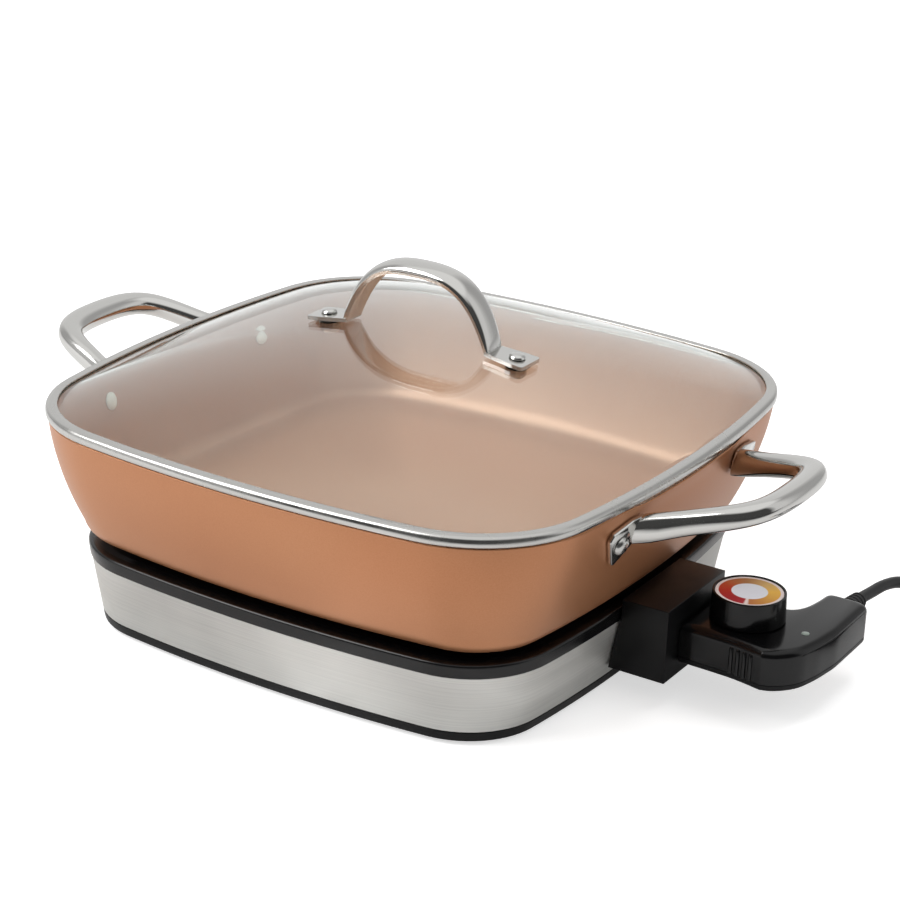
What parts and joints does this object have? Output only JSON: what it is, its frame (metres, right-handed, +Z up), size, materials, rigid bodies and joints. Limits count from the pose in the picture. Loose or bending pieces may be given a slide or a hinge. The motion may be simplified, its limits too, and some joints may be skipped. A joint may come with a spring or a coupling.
{
  "type": "electric skillet",
  "caption": "Square electric skillet: heated base, lift-out copper-coloured pan with side handles, domed glass lid, and a plug-in heat control with dial and cord.",
  "frame": {"origin": "on the floor, under the middle of the box round base, pan, lid and control without the cord", "axes": "+X towards the heat control along the lid handle, +Y to the back, +Z up"},
  "size_m": [0.5754, 0.315, 0.1844],
  "materials": {
    "band_steel": "brushed along the sides",
    "polished_steel": "polished",
    "plain_steel": "plain mill finish",
    "rim_black": "gloss black moulding",
    "body_black": "satin black moulding",
    "pan_copper": "satin copper coating on aluminium",
    "plate_aluminium": "plain",
    "rivet_coat": "white coat",
    "lid_glass": "clear, polished",
    "rubber_black": "matt",
    "carrier_ceramic": "unglazed ceramic",
    "contact_brass": "plain",
    "dial_print": "printed face",
    "lens": "translucent"
  },
  "bodies": {
    "base": {"foot_front_left": "rubber_black", "foot_front_right": "rubber_black", "foot_rear_right": "rubber_black", "foot_rear_left": "rubber_black", "bottom_cover": "plain_steel", "bottom_trim": "body_black", "steel_band": "band_steel", "top_rim": "rim_black", "heating_plate": "plate_aluminium", "heating_element": "plain_steel", "heat_shield": "plain_steel", "post_front_left": "plain_steel", "cover_screw_front_left": "plain_steel", "post_front_right": "plain_steel", "cover_screw_front_right": "plain_steel", "post_rear_right": "plain_steel", "cover_screw_rear_right": "plain_steel", "post_rear_left": "plain_steel", "cover_screw_rear_left": "plain_steel", "socket_block": "body_black", "pin_carrier": "carrier_ceramic", "probe_sleeve": "plate_aluminium", "pin_front": "polished_steel", "pin_rear": "polished_steel"},
    "pan": {"pan_shell": "pan_copper", "handle_right": "polished_steel", "handle_left": "polished_steel", "rivet_right_front": "rivet_coat", "rivet_right_rear": "rivet_coat", "rivet_left_rear": "rivet_coat", "rivet_left_front": "rivet_coat"},
    "lid": {"lid_glass": "lid_glass", "lid_band": "band_steel", "lid_handle": "polished_steel", "lid_screw_left": "polished_steel", "lid_washer_left": "rubber_black", "lid_nut_left": "plain_steel", "lid_screw_right": "polished_steel", "lid_washer_right": "rubber_black", "lid_nut_right": "plain_steel"},
    "control": {"control_case": "body_black", "control_cover": "body_black", "control_nose": "body_black", "contact_front": "contact_brass", "contact_rear": "contact_brass", "probe_rod": "plain_steel", "spindle_bracket": "plain_steel", "switch_blade": "contact_brass", "pilot_lens": "lens", "strain_relief": "rubber_black", "case_screw_1": "plain_steel", "case_screw_2": "plain_steel", "cord": "rubber_black", "cord_coil": "rubber_black", "plug_body": "rubber_black", "plug_blade_lower": "contact_brass", "plug_blade_upper": "contact_brass"},
    "dial": {"dial_knob": "body_black", "dial_face": "dial_print", "dial_spindle": "polished_steel"}
  },
  "joints": [
    {"name": "pan_lift", "type": "slide", "parent": "base", "child": "pan", "axis": [0, 0, 1], "range_m": [0, 0.08]},
    {"name": "lid_lift", "type": "slide", "parent": "pan", "child": "lid", "axis": [0, 0, 1], "range_m": [0, 0.1]},
    {"name": "control_pull", "type": "slide", "parent": "base", "child": "control", "axis": [1, 0, 0], "range_m": [0, 0.08]},
    {"name": "dial_turn", "type": "hinge", "parent": "control", "child": "dial", "pos_m": [0.17982, 0.0076, 0.05], "axis": [0, 0, 1], "range_deg": [-270, 0]}
  ]
}
